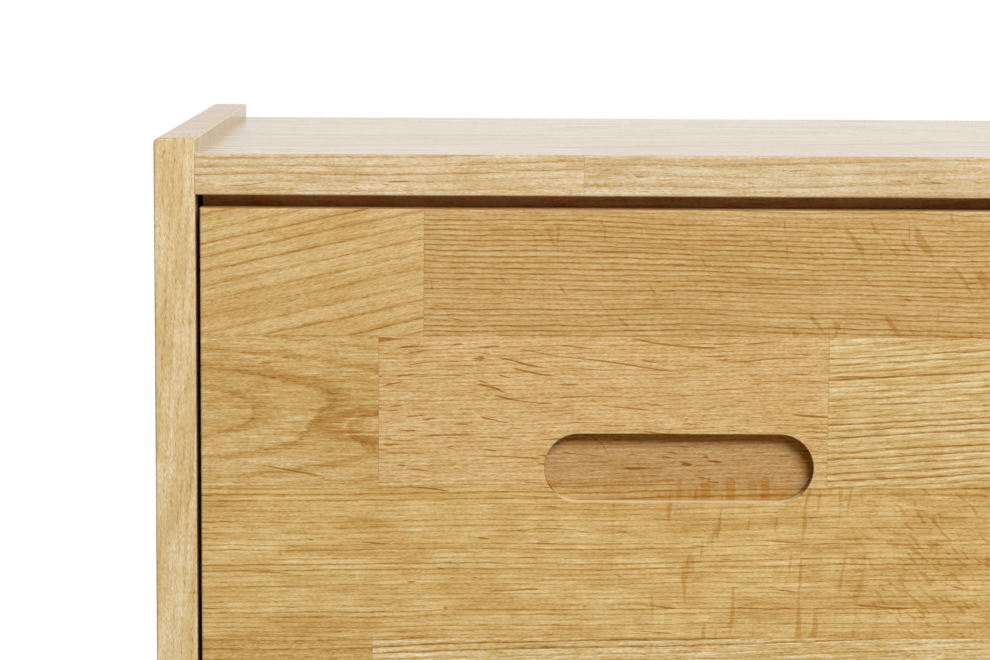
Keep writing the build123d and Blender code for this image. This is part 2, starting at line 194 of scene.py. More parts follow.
class Graph:
    """Adds nodes to one node tree and joins them."""

    def __init__(self, tree):
        self.tree = tree
        self.count = 0

    def add(self, kind, **settings):
        """A new node, placed in a grid."""
        node = self.tree.nodes.new(kind)
        column, row = divmod(self.count, ROWS_PER_COLUMN)
        node.location = (column * COLUMN_GAP, -row * ROW_GAP)
        self.count += 1
        for name, value in settings.items():
            setattr(node, name, value)
        return node

    def feed(self, socket, value):
        """Links a socket to another, or sets its value."""
        if isinstance(value, bpy.types.NodeSocket):
            self.tree.links.new(value, socket)
        else:
            socket.default_value = value

    def number(self, operation, *values, clamp=False):
        node = self.add("ShaderNodeMath", operation=operation, use_clamp=clamp)
        for socket, value in zip(node.inputs, values):
            self.feed(socket, value)
        return node.outputs[0]

    times = partialmethod(number, "MULTIPLY")
    plus = partialmethod(number, "ADD")
    minus = partialmethod(number, "SUBTRACT")
    over = partialmethod(number, "DIVIDE")
    times_plus = partialmethod(number, "MULTIPLY_ADD")
    larger = partialmethod(number, "MAXIMUM")
    above = partialmethod(number, "GREATER_THAN")
    below = partialmethod(number, "LESS_THAN")
    absolute = partialmethod(number, "ABSOLUTE")
    floor = partialmethod(number, "FLOOR")
    root = partialmethod(number, "SQRT")
    off_whole = partialmethod(number, "PINGPONG")

    def vector(self, operation, *values):
        node = self.add("ShaderNodeVectorMath", operation=operation)
        for socket, value in zip(node.inputs, values):
            self.feed(socket, value)
        return node.outputs["Vector"]

    def scaled(self, vector, factor):
        node = self.add("ShaderNodeVectorMath", operation="SCALE")
        self.feed(node.inputs["Vector"], vector)
        self.feed(node.inputs["Scale"], factor)
        return node.outputs["Vector"]

    def split(self, vector):
        node = self.add("ShaderNodeSeparateXYZ")
        self.feed(node.inputs[0], vector)
        return tuple(node.outputs)

    def join(self, *values):
        node = self.add("ShaderNodeCombineXYZ")
        for socket, value in zip(node.inputs, values):
            self.feed(socket, value)
        return node.outputs[0]

    def noise(self, vector, spread, detail=0.0, output="Fac"):
        """Noise whose cells are as large as spread, in the units of the vector."""
        node = self.add("ShaderNodeTexNoise")
        inverse = tuple(1.0 / size for size in spread)
        self.feed(node.inputs["Vector"], self.vector("MULTIPLY", vector, inverse))
        node.inputs["Scale"].default_value = 1.0
        node.inputs["Detail"].default_value = detail
        return node.outputs[output]

    def wander(self, vector, spread, detail=0.0):
        """A vector that wanders about zero, from about -0.5 to 0.5 each way."""
        colour = self.noise(vector, spread, detail, output="Color")
        return self.vector("SUBTRACT", colour, (0.5, 0.5, 0.5))

    def dice(self, *values):
        """A random colour for up to three whole numbers."""
        node = self.add("ShaderNodeTexWhiteNoise", noise_dimensions="3D")
        self.feed(node.inputs["Vector"], self.join(*values))
        return node.outputs["Color"]

    def ease(self, value, low, high, low_out=0.0, high_out=1.0):
        """A smooth step from low_out to high_out between low and high."""
        node = self.add("ShaderNodeMapRange", interpolation_type="SMOOTHSTEP")
        for name, number in (
            ("Value", value), ("From Min", low), ("From Max", high),
            ("To Min", low_out), ("To Max", high_out),
        ):
            self.feed(node.inputs[name], number)
        return node.outputs["Result"]

    def mix(self, factor, first, second, blend="MIX"):
        node = self.add("ShaderNodeMixRGB", blend_type=blend)
        for socket, value in zip(node.inputs, (factor, first, second)):
            self.feed(socket, value if isinstance(value, (float, bpy.types.NodeSocket)) else (*value, 1.0))
        return node.outputs[0]

    def tinted(self, amount, colour, tint):
        """A colour that is multiplied by a tint where amount is one."""
        return self.mix(amount, colour, self.mix(1.0, colour, tint, "MULTIPLY"))

    def dimmed(self, light, amount, depth):
        """A lightness that falls by depth where amount is one."""
        return self.times(light, self.times_plus(amount, -depth, 1.0))

    def table(self, place, colours):
        """The colour of one of several equal steps, for a place from 0 to 1."""
        node = self.add("ShaderNodeValToRGB")
        ramp = node.color_ramp
        ramp.interpolation = "CONSTANT"
        while len(ramp.elements) < len(colours):
            ramp.elements.new(1.0)
        for step, colour in enumerate(colours):
            ramp.elements[step].position = step / len(colours)
            ramp.elements[step].color = (*colour, 1.0)
        self.feed(node.inputs[0], place)
        return node.outputs["Color"]

    def group(self, name, **values):
        """One of the shared node groups, with its inputs fed by name."""
        node = self.add("ShaderNodeGroup", node_tree=bpy.data.node_groups[name])
        for socket, value in values.items():
            self.feed(node.inputs[socket.replace("_", " ").capitalize()], value)
        return node.outputs


def new_group(name, inputs, outputs):
    """An empty node group with named sockets, as a graph with its given values and its results."""
    tree = bpy.data.node_groups.new(name, "ShaderNodeTree")
    for socket, kind in inputs:
        tree.interface.new_socket(socket, in_out="INPUT", socket_type=kind)
    for socket, kind in outputs:
        tree.interface.new_socket(socket, in_out="OUTPUT", socket_type=kind)
    graph = Graph(tree)
    return graph, graph.add("NodeGroupInput").outputs, graph.add("NodeGroupOutput").inputs


def new_material(name):
    """A material with a Principled shader, as a graph."""
    material = bpy.data.materials.new(name)
    material.use_nodes = True
    return material, Graph(material.node_tree), material.node_tree.nodes["Principled BSDF"].inputs


def dress(material, *nodes):
    """Gives CAD nodes their finish."""
    for name in nodes:
        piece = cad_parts[name]
        piece.data.materials.clear()
        piece.data.materials.append(material)


# Oak: what one stave looks like, and how staves are glued to boards

# Noise in a stave: the size of its cells along, across and into it in millimetres, and its detail
WAVES = (110.0, 40.0, 40.0), 1.0
RIPPLES = (14.0, 5.0, 5.0), 2.0
UNEVEN_RINGS = (14.0, 14.0, 14.0), 1.0
LINE_BREAKS = (5.0, 0.8, 0.8), 1.0
PORES = (3.2, 0.40, 0.40), 0.0
LONG_FIBRES = (34.0, 1.1, 1.1), 3.0
SHORT_FIBRES = (9.0, 0.7, 0.7), 2.0
SPECKS = (1.8, 0.45, 0.45), 1.0
MOTTLE = (45.0, 9.0, 9.0), 3.0
CLOUDS = (150.0, 45.0, 45.0), 1.0
SILK = (8.0, 34.0, 34.0), 3.0
DASHES = (54.0, 1.15, 1.15), 0.0
DASH_BENDS = (60.0, 45.0, 45.0), 0.0
CLUSTERS = (60.0, 30.0, 30.0), 1.0
RAY_DETAIL = 0.6

# Lengths in millimetres; a step in the seed moves a stave's noise that far
SEED_STEP = (173.0, 317.0, 471.0)
RIPPLE_REACH = 1.3
LINE_BREADTH = 1.1
BAR_BREADTH, TICK_BREADTH, RAY_DEPTH = 4.0, 1.8, 20.0
DASH_BEND = 13.0
EYE_LENGTH, EYE_BREADTH = 24.0, 9.0
FLECK_FADE = 50.0

# Smooth steps: where they begin and end, and what they give there where that isn't 0 and 1
LINE_START = (0.0, 0.04)
UNBROKEN = (0.40, 0.56, 0.62, 1.0)
BAND_START = (0.90, 1.0)
RING_SHARES = (0.0, 1.0, 0.3, 1.0)
PORE_STEP = (0.56, 0.72)
FLECK_STEP = (0.0, 0.07)
PATCH_STEP = (0.38, 0.58)
HEART_START, HEART_END = (0.26, 0.38), (0.74, 0.88, 1.0, 0.0)
END_STEP = (0.6, 0.9)
GLUE_STEP = (0.04, 0.20, 1.0, 0.0)

# Weights of what adds up to a stave's pattern
BAND_WEIGHT = 0.40
END_BOOST = 1.5
PORES_IN_BAND, PORES_ELSEWHERE = 0.45, 0.10
SHORT_WEIGHT, LONG_WEIGHT, STREAK_WEIGHT = 1.5, 1.3, 1.2
SPECK_WEIGHT, CLOUD_WEIGHT, SILK_WEIGHT = 0.55, 0.28, 0.30
CLUSTERING = 0.3

# The noise above which rays and dashes show, and how far an amount of one lowers that
FLECK_LIMIT, RAY_SHARE, DASH_SHARE = 0.84, 0.24, 0.15
DASH_SLOPE = 0.07

# Lightness, colour, roughness and relief
END_DEPTH = 0.23
DARKEST = 0.08
SHADE_POWERS = (0.56, 1.0, 2.0)
PORES_ROUGHEN, ENDS_ROUGHEN = 0.15, 0.10
PORE_RELIEF, FIBRE_RELIEF, RING_RELIEF = -1.0, 0.6, -0.3

# Sockets for what differs from stave to stave, and for what a finish gives
STAVE_SOCKETS = [("Tone", COLOUR)] + [
    (name, VECTOR) for name in ("Pith", "Lean", "Figure", "Texture", "Bars", "Ticks", "Flecks", "Eye")]
FINISH_SOCKETS = [("Color", COLOUR), ("Roughness", FLOAT), ("Height", FLOAT)]


def broad_rays(graph, own, settings, breadth, crowding):
    """Broad rays of one breadth; settings are their amount, their length and their slant."""
    amount, length, slant = graph.split(settings)
    turned = graph.add("ShaderNodeVectorRotate", rotation_type="Z_AXIS")
    graph.feed(turned.inputs["Vector"], own)
    graph.feed(turned.inputs["Angle"], graph.times(slant, -math.pi / 180))
    along, across, deep = graph.split(turned.outputs[0])
    along = graph.over(along, length)
    cells = graph.noise(graph.join(along, across, deep), (1.0, breadth, RAY_DEPTH), RAY_DETAIL)
    limit = graph.minus(graph.times_plus(amount, -RAY_SHARE, FLECK_LIMIT), crowding)
    return graph.ease(graph.minus(cells, limit), *FLECK_STEP)


def oak_grain_group(oak):
    """Solid oak of one stave. Position is in millimetres along, across and into the board.

    Pith is the pith's place across and into the board and the width of a ring; Lean is how far the
    pith climbs across and into the board along it and how far the grain sways; Figure is the
    strength and the breadth of the rings and the strength of the fibres; Texture is how uneven the
    rings are and the strength of patches and of specks; Bars and Ticks are the amount, the length
    and the slant of broad and of narrow rays; Flecks is the amount of fine dashes and where bars
    and ticks begin; Eye is the place of an eye in the grain and the number of rings that bend
    round it. Bars that begin before ticks end where these begin.
    """
    graph, given, result = new_group(
        "Oak grain", [("Position", VECTOR), ("Seed", FLOAT), *STAVE_SOCKETS, ("End", FLOAT)], FINISH_SOCKETS)
    along, across, deep = graph.split(given["Position"])
    pith_across, pith_deep, ring_width = graph.split(given["Pith"])
    rise_across, rise_deep, sway = graph.split(given["Lean"])
    ring_strength, ring_breadth, fibre_strength = graph.split(given["Figure"])
    unevenness, patchiness, speckling = graph.split(given["Texture"])
    dash_amount, bars_from, ticks_from = graph.split(given["Flecks"])
    eye_along, eye_across, eye_rings = graph.split(given["Eye"])
    level = graph.minus(across, graph.times(rise_across, along))
    own = graph.vector("ADD", graph.join(along, level, deep), graph.scaled(SEED_STEP, given["Seed"]))

    # Growth rings round the pith, which bend round the eye
    bend = graph.scaled(graph.wander(own, *WAVES), sway)
    ripple = graph.scaled(graph.wander(own, *RIPPLES), RIPPLE_REACH)
    _, bend_across, bend_deep = graph.split(graph.vector("ADD", bend, ripple))
    from_across = graph.minus(graph.plus(level, bend_across), pith_across)
    from_deep = graph.minus(graph.plus(deep, bend_deep), pith_deep)
    from_deep = graph.minus(from_deep, graph.times(rise_deep, along))
    squares = graph.times_plus(from_across, from_across, graph.number("POWER", from_deep, 2.0))
    radius = graph.root(squares)
    uneven = graph.noise(graph.join(radius, given["Seed"], 0.0), *UNEVEN_RINGS)
    rings = graph.over(graph.times_plus(uneven, unevenness, radius), ring_width)
    in_eye = graph.over(graph.minus(along, eye_along), EYE_LENGTH)
    over_eye = graph.over(graph.minus(across, eye_across), EYE_BREADTH)
    off_eye = graph.times_plus(in_eye, in_eye, graph.times(over_eye, over_eye))
    eye = graph.number("EXPONENT", graph.times(off_eye, -1.0))
    rings = graph.times_plus(eye, eye_rings, rings)

    # Early wood, as a sharp line and a soft band in each ring
    phase = graph.number("FRACT", rings)
    past = graph.times(phase, ring_width)
    line = graph.times(graph.ease(past, 0.0, LINE_BREADTH, 1.0, 0.0), graph.ease(phase, *LINE_START))
    line = graph.times(line, graph.ease(graph.noise(own, *LINE_BREAKS), *UNBROKEN))
    band = graph.larger(graph.ease(phase, 0.0, ring_breadth, 1.0, 0.0), graph.ease(phase, *BAND_START))
    early = graph.larger(line, graph.times(band, BAND_WEIGHT))
    ring_dice, _, _ = graph.split(graph.dice(graph.floor(rings), given["Seed"], 0.0))
    early = graph.times(early, graph.ease(ring_dice, *RING_SHARES))
    early = graph.times(early, graph.times_plus(given["End"], END_BOOST, 1.0))

    # Fibres, pores and fine dashes
    pores = graph.ease(graph.noise(own, *PORES), *PORE_STEP)
    pores = graph.times(pores, graph.times_plus(band, PORES_IN_BAND, PORES_ELSEWHERE))
    long, short, speck, cloud, silk = (
        graph.minus(graph.noise(own, *cells), 0.5)
        for cells in (LONG_FIBRES, SHORT_FIBRES, SPECKS, CLOUDS, SILK))
    mottle = graph.noise(own, *MOTTLE)
    own_along, _, _ = graph.split(own)
    bent_dashes = graph.vector("ADD", own, graph.scaled(graph.wander(own, *DASH_BENDS), DASH_BEND))
    _, dash_across, dash_deep = graph.split(bent_dashes)
    dash_across = graph.times_plus(own_along, DASH_SLOPE, dash_across)
    dashes = graph.noise(graph.join(own_along, dash_across, dash_deep), *DASHES)
    dash_limit = graph.times_plus(dash_amount, -DASH_SHARE, FLECK_LIMIT)
    dashes = graph.ease(graph.minus(dashes, dash_limit), *FLECK_STEP)

    # Broad rays, in clusters
    cluster = graph.times_plus(graph.noise(own, *CLUSTERS), CLUSTERING, -CLUSTERING / 2)
    bent = graph.vector("ADD", own, bend)
    bars = broad_rays(graph, bent, given["Bars"], BAR_BREADTH, cluster)
    bars = graph.times(bars, graph.ease(graph.minus(along, bars_from), 0.0, FLECK_FADE))
    in_ticks = graph.ease(graph.minus(along, ticks_from), 0.0, FLECK_FADE)
    ending = graph.times(in_ticks, graph.above(ticks_from, bars_from))
    bars = graph.dimmed(bars, ending, 1.0)
    ticks = graph.times(broad_rays(graph, bent, given["Ticks"], TICK_BREADTH, cluster), in_ticks)
    rays = graph.larger(bars, ticks)

    # Lightness
    fibres = graph.times_plus(short, SHORT_WEIGHT, graph.times(long, LONG_WEIGHT))
    light = graph.times_plus(fibres, fibre_strength, 1.0)
    light = graph.times_plus(graph.times(speck, speckling), SPECK_WEIGHT, light)
    light = graph.times_plus(graph.times(cloud, patchiness), CLOUD_WEIGHT, light)
    patches = graph.ease(mottle, *PATCH_STEP)
    silky = graph.times(graph.times(silk, patches), patchiness)
    light = graph.times_plus(silky, SILK_WEIGHT, light)
    in_patch = graph.times(graph.minus(1.0, patches), patchiness)
    light = graph.dimmed(light, in_patch, oak.patch_depth)
    streaked = graph.times_plus(long, STREAK_WEIGHT, graph.minus(mottle, 0.5))
    round_eye = graph.plus(eye, streaked)
    heart = graph.times(graph.ease(round_eye, *HEART_START), graph.ease(round_eye, *HEART_END))
    heart = graph.times(heart, graph.number("MINIMUM", graph.absolute(eye_rings), 1.0))
    light = graph.dimmed(light, heart, oak.heart_depth)
    light = graph.dimmed(light, graph.times(early, ring_strength, clamp=True), oak.ring_depth)
    light = graph.dimmed(light, rays, oak.ray_depth)
    dark = graph.larger(pores, dashes)
    light = graph.dimmed(light, dark, oak.pore_depth)
    light = graph.dimmed(light, given["End"], END_DEPTH)
    light = graph.larger(light, DARKEST)

    # Colour, roughness and relief
    deepened = [graph.number("POWER", light, power) for power in SHADE_POWERS]
    graph.feed(result["Color"], graph.vector("MULTIPLY", given["Tone"], graph.join(*deepened)))
    rough = graph.times_plus(dark, PORES_ROUGHEN, oak.roughness)
    graph.feed(result["Roughness"], graph.times_plus(given["End"], ENDS_ROUGHEN, rough))
    pits = graph.times_plus(dark, PORE_RELIEF, graph.times(short, FIBRE_RELIEF))
    graph.feed(result["Height"], graph.times_plus(early, RING_RELIEF, pits))


NO_RAYS = (-1.0, 20.0, 90.0)
NO_EYE = (0.0, 0.0, 0.0)
EVERYWHERE = -1000.0
FEW_DASHES = (0.2, 0.0, 0.0)

# A stave of the drawer front; end is the place of its right end in millimetres, if another follows
Stave = namedtuple("Stave", "seed tone pith lean figure texture bars ticks flecks eye end",
                   defaults=(NO_RAYS, NO_RAYS, FEW_DASHES, NO_EYE, None))

# Rows of the drawer front from the lowest up: the height of the upper joint, and the staves from the left
DRAWER_ROWS = (
    (72.0, (
        Stave(seed=1.0, tone=(0.563, 0.365, 0.122), pith=(200.0, 90.0, 3.6), lean=(0.01, 0.0, 4.0),
              figure=(0.7, 0.6, 0.6), texture=(4.0, 0.6, 2.0), ticks=(0.5, 7.0, 80.0),
              flecks=(0.4, EVERYWHERE, EVERYWHERE), end=-142.0),
        Stave(seed=2.0, tone=(0.655, 0.488, 0.239), pith=(-60.0, 60.0, 2.7), lean=(0.03, 0.0, 5.0),
              figure=(1.7, 0.6, 0.8), texture=(2.5, 0.6, 1.8)),
    )),
    (143.0, (
        Stave(seed=3.0, tone=(0.63, 0.437, 0.178), pith=(330.0, 40.0, 2.5), lean=(0.01, 0.0, 5.0),
              figure=(0.85, 0.5, 0.55), texture=(4.5, 1.1, 1.6), bars=(0.8, 28.0, 86.0),
              ticks=(0.85, 6.0, 137.0), flecks=(0.5, -50.0, 62.0)),
    )),
    (213.5, (
        Stave(seed=4.0, tone=(0.59, 0.40, 0.161), pith=(177.0, 51.3, 8.0), lean=(0.0, 0.187, 4.0),
              figure=(0.85, 0.45, 0.7), texture=(2.0, 1.0, 1.8), flecks=(0.6, 0.0, 0.0),
              eye=(-143.5, 171.5, 1.0), end=-139.2),
        Stave(seed=5.0, tone=(0.625, 0.422, 0.186), pith=(480.0, 60.0, 1.95), lean=(0.02, 0.0, 5.0),
              figure=(0.55, 0.6, 0.45), texture=(1.5, 0.5, 1.8), flecks=(1.05, 0.0, 0.0), end=68.9),
        Stave(seed=6.0, tone=(0.664, 0.50, 0.249), pith=(20.0, 50.0, 3.0), lean=(0.07, 0.0, 5.0),
              figure=(1.7, 0.6, 0.8), texture=(3.5, 0.8, 1.3)),
    )),
    (300.0, (
        Stave(seed=7.0, tone=(0.614, 0.425, 0.183), pith=(150.0, 60.0, 6.2), lean=(0.22, 0.0, 3.5),
              figure=(1.25, 0.3, 0.45), texture=(5.0, 0.9, 1.7), flecks=(0.0, 0.0, 0.0), end=-118.5),
        Stave(seed=8.0, tone=(0.565, 0.373, 0.152), pith=(540.0, 60.0, 2.35), lean=(-0.015, 0.0, 7.0),
              figure=(1.1, 0.5, 0.55), texture=(2.2, 0.55, 1.4), bars=(0.55, 16.0, 125.0),
              ticks=(0.35, 14.0, 95.0), flecks=(0.2, EVERYWHERE, EVERYWHERE)),
    )),
)

# The finger recess in millimetres: half its length, the radius of its ends and of its rim, the height of
# its middle, its depth, and smooth steps at its floor, its wall, the painted highlight on its rim and what
# faces up
RECESS_REACH, RECESS_RADIUS, RECESS_RIM = 62.5, 16.0, 0.6
RECESS_UP = 152.0
RECESS_DEEP = 9.0
FLOOR_STEP = (RECESS_DEEP - 0.5, RECESS_DEEP - 0.1)
WALL_STEP = (0.1, 0.5)
RIM_SHEEN_STEP = (4.0, 7.0, 0.75, 0.0)
UPWARD_STEP = (0.6, 0.98)

# The painted shadow on its floor under the upper and right walls: the way to it from the middle, and steps
# round and towards the wall
SHADOW_RIGHT, SHADOW_UP = 0.6, 0.8
SHADOW_TURN = (0.0, 0.7)
SHADOW_STEP = (RECESS_RADIUS - 9.0, RECESS_RADIUS - 2.5)

# The round mark where the cutter was let in
PLUNGE_RADIUS = 14.8
PLUNGE_LINE = (0.05, 0.35, 0.6, 0.0)
PLUNGE_STEP = (1.0, 8.0)

# Short rays that cross the lower half of the floor: the middle, breadth and strength of each
FLOOR_RAYS = ((0.9, 1.9, 0.5), (13.2, 4.2, 0.8), (24.8, 4.2, 1.0), (35.1, 4.0, 0.35), (41.0, 3.7, 0.85))
FLOOR_RAY_INSIDE, FLOOR_RAY_OUTSIDE = 0.4, 0.5
FLOOR_RAY_TOP = (147.2, 148.7, 1.0, 0.0)
RAGGED, RAGGED_REACH = ((1.2, 9.0, 9.0), 1.0), 3.0
PALE_SPOTS, PALE_STEP = ((3.0, 0.9, 0.9), 1.0), (0.3, 0.7, 0.6, 1.0)

# Wall tint: brown of the recess walls that don't face up, partly their end grain and partly painted shade;
# also the colour of the plunge mark
WALL_TINT = (0.52, 0.34, 0.18)
# Painted highlight: the pale colour of the recess's up-facing lower rim, standing in for the light and sheen
# it catches
RIM_SHEEN_COLOUR = (0.95, 0.87, 0.63)
FLOOR_RAY_TINT = (0.86, 0.67, 0.38)

# Thickness of the lacquer, and the sheen of the wood under it
FRONT_LACQUER, TOP_LACQUER, SIDE_LACQUER = 0.4, 0.83, 0.72
WOOD_SHEEN = 0.08

# Strength of a finish's relief, and its height in metres
OAK_RELIEF = 0.25, 0.00015
PLAIN_RELIEF = 0.2, 0.0001
FELT_RELIEF = 0.6, 0.0002

# Axes along, across and into a board that faces the front, lies flat, stands on end or runs into the chest
FACING = (ACROSS_CHEST, UP, INTO_CHEST)
LYING = (ACROSS_CHEST, INTO_CHEST, UP)
STANDING = (UP, INTO_CHEST, ACROSS_CHEST)
RUNNING_IN = (INTO_CHEST, UP, ACROSS_CHEST)

# Where a joint of the other boards is in millimetres, behind the front edge or under the box's upper edge
SIDE_JOINT, TOP_JOINT, BOX_JOINT = 68.0, 54.0, 66.0
SIDE_STAVE_LENGTH = 700.0
TOP_SLIDE = 95.0
HAND_SEED = 3.0

# Width of a leaf of veneer, place of a joint and length of a leaf
VENEER = (112.0, 0.0, 900.0)

# How the staves of the other boards differ in colour and in figure
PLAIN = (1.0, 1.0, 1.0)
SIDE_LOOK = {"tint": (1.12, 1.21, 1.35), "figure": (0.6, 1.0, 0.6)}
TOP_LOOK = {"tint": (1.07, 1.15, 1.41), "figure": (1.5, 1.0, 0.9)}
# Painted light: the stop rail is tinted brighter than its wood, standing in for light in the shaded gap
# above the drawer front
RAIL_PAINTED_LIGHT = {"tint": (1.66, 1.31, 1.06)}

# Colours of the staves in the other boards
STAVE_TONES = (
    (0.63, 0.455, 0.225), (0.59, 0.42, 0.20), (0.61, 0.435, 0.21),
    (0.62, 0.44, 0.225), (0.57, 0.40, 0.185), (0.64, 0.465, 0.24),
)


def board_place(graph, axes):
    """Millimetres along, across and into a board, and how far a face looks each of these ways."""
    coordinates = graph.add("ShaderNodeTexCoord").outputs
    place = graph.split(graph.scaled(coordinates["Object"], PER_METRE))
    facing = graph.split(coordinates["Normal"])
    return [place[axis] for axis in axes], [facing[axis] for axis in axes]


def end_grain(graph, facing):
    """How far a face shows end grain."""
    return graph.ease(graph.absolute(facing[0]), *END_STEP)


def spread_out(graph, dice, middle, reach):
    """Random numbers from middle - reach to middle + reach, for a random colour."""
    doubled = tuple(2 * size for size in reach)
    low = tuple(m - r for m, r in zip(middle, reach))
    return graph.vector("MULTIPLY_ADD", dice, doubled, low)


# Middle and reach of what differs from stave to stave in the other boards
STAVE_RANGES = {
    "Pith": ((0.0, 75.0, 4.4), (90.0, 45.0, 1.7)),
    "Lean": ((0.0, 0.0, 6.0), (0.06, 0.05, 2.5)),
    "Figure": ((0.55, 0.5, 0.5), (0.2, 0.12, 0.15)),
    "Texture": ((3.5, 0.9, 1.6), (1.5, 0.3, 0.4)),
    "Bars": ((0.0, 20.0, 100.0), (0.7, 8.0, 35.0)),
    "Ticks": ((0.0, 9.0, 100.0), (0.5, 3.0, 35.0)),
    "Flecks": ((0.1, EVERYWHERE, EVERYWHERE), (0.5, 0.0, 0.0)),
}

# Shortest stave as a share of the usual length, and what chance adds; steps between random numbers
SHORTEST_STAVE, LENGTH_REACH = 0.8, 0.6
ROW_SHIFT, STAVE_SEEDS, DICE_STEP = 7.0, 40.0, 10.0


def glued_staves_group():
    """A board of glued staves: rows across it, with staggered joints along them.

    Rows holds the width of a row, the place of the first joint and the length of a stave.
    """
    graph, given, result = new_group(
        "Glued staves", [("Position", VECTOR), ("Rows", VECTOR), ("Seed", FLOAT)],
        [("Own position", VECTOR), ("Seed", FLOAT), *STAVE_SOCKETS[:-1], ("Joint", FLOAT)])
    along, across, deep = graph.split(given["Position"])
    row_width, first, length = graph.split(given["Rows"])
    in_rows = graph.over(graph.minus(across, first), row_width)
    row = graph.floor(in_rows)
    shift, longer, _ = graph.split(graph.dice(row, given["Seed"], 1.0))
    own_length = graph.times(length, graph.times_plus(longer, LENGTH_REACH, SHORTEST_STAVE))
    in_staves = graph.plus(graph.over(along, own_length), graph.times(shift, ROW_SHIFT))
    stave = graph.floor(in_staves)
    row_middle = graph.times_plus(graph.plus(row, 0.5), row_width, first)
    own_across = graph.minus(across, row_middle)
    seed, which, _ = graph.split(graph.dice(row, stave, given["Seed"]))
    for turn, (name, (middle, reach)) in enumerate(STAVE_RANGES.items(), 1):
        dice = graph.dice(row, stave, graph.plus(given["Seed"], DICE_STEP * turn))
        graph.feed(result[name], spread_out(graph, dice, middle, reach))
    row_edge = graph.times(graph.off_whole(in_rows, 0.5), row_width)
    butt_edge = graph.times(graph.off_whole(in_staves, 0.5), own_length)
    graph.feed(result["Own position"], graph.join(along, own_across, deep))
    graph.feed(result["Seed"], graph.times(seed, STAVE_SEEDS))
    graph.feed(result["Tone"], graph.table(which, STAVE_TONES))
    graph.feed(result["Joint"], glue_line(graph, graph.number("MINIMUM", row_edge, butt_edge)))


def glue_line(graph, distance):
    """How far a glued joint shows at a distance from it."""
    return graph.ease(distance, *GLUE_STEP)


def add_relief(graph, shader, height, strength, reach):
    """Gives a shader relief, in which a height of one stands out by reach, in metres."""
    relief = graph.add("ShaderNodeBump")
    relief.inputs["Strength"].default_value = strength
    relief.inputs["Distance"].default_value = reach
    graph.feed(relief.inputs["Height"], height)
    graph.feed(shader["Normal"], relief.outputs[0])


def finished(graph, shader, grain, joint, oak, lacquer):
    """Feeds a Principled shader with an oak grain and the glue line of its joints.

    Lacquer is the thickness of the satin coat. Returns the colour that the base is given.
    """
    colour = graph.tinted(joint, grain["Color"], oak.glue_tint)
    graph.feed(shader["Base Color"], colour)
    graph.feed(shader["Roughness"], grain["Roughness"])
    shader["Specular IOR Level"].default_value = WOOD_SHEEN
    graph.feed(shader["Coat Weight"], lacquer)
    shader["Coat Roughness"].default_value = oak.lacquer_roughness
    add_relief(graph, shader, grain["Height"], *OAK_RELIEF)
    return colour


def staved_grain(graph, position, rows, seed, end, tint=PLAIN, figure=PLAIN):
    """Oak grain of a board of regular staves, and where its joints are."""
    staves = graph.group("Glued staves", position=position, seed=seed, rows=rows)
    own = {name.lower(): staves[name] for name in ("Seed", "Tone", *STAVE_RANGES)}
    own["tone"] = graph.vector("MULTIPLY", own["tone"], tint)
    own["figure"] = graph.vector("MULTIPLY", own["figure"], figure)
    return graph.group("Oak grain", position=staves["Own position"], end=end, **own), staves["Joint"]


def board_oak(name, oak, axes, joint_at, seed, lacquer=0.0, stave_length=None, hand=False, slide=0.0,
              **look):
    """Oak for a board of regular staves, oiled unless it has a thickness of lacquer.

    Joint_at is the place of a joint between rows. With hand, the boards left and right of the
    chest's middle get other staves. Slide moves the staves along, and tint and figure change the
    colour and the figure of all of them.
    """
    material, graph, shader = new_material(name)
    (along, across, deep), facing = board_place(graph, axes)
    end = end_grain(graph, facing)
    if hand:
        seed = graph.times_plus(graph.number("SIGN", deep), HAND_SEED, seed)
        deep = graph.absolute(deep)
    width = oak.stave_width * PER_METRE
    position = graph.join(graph.minus(along, slide), across, deep)
    rows = (width, joint_at, stave_length or oak.stave_length * PER_METRE)
    grain, joint = staved_grain(graph, position, rows, seed, end, **look)
    finished(graph, shader, grain, joint, oak, lacquer)
    return material


def drawer_staves(graph, along, across):
    """Which stave of the drawer front a place is in, as the middle of its step in a table from 0 to
    1, and how far a joint shows there."""
    number, joint, low = 0.5, 0.0, 0.0
    for high, row in DRAWER_ROWS:
        in_row = graph.times(graph.above(across, low), graph.below(across, high))
        for stave in row[:-1]:
            past = graph.above(along, stave.end)
            number = graph.times_plus(in_row, past, number)
            near = graph.absolute(graph.minus(along, stave.end))
            joint = graph.larger(joint, graph.times(glue_line(graph, near), in_row))
        number = graph.times_plus(graph.above(across, high), float(len(row)), number)
        near = graph.absolute(graph.minus(across, high))
        joint = graph.larger(joint, glue_line(graph, near))
        low = high
    return graph.over(number, float(sum(len(row) for _, row in DRAWER_ROWS))), joint


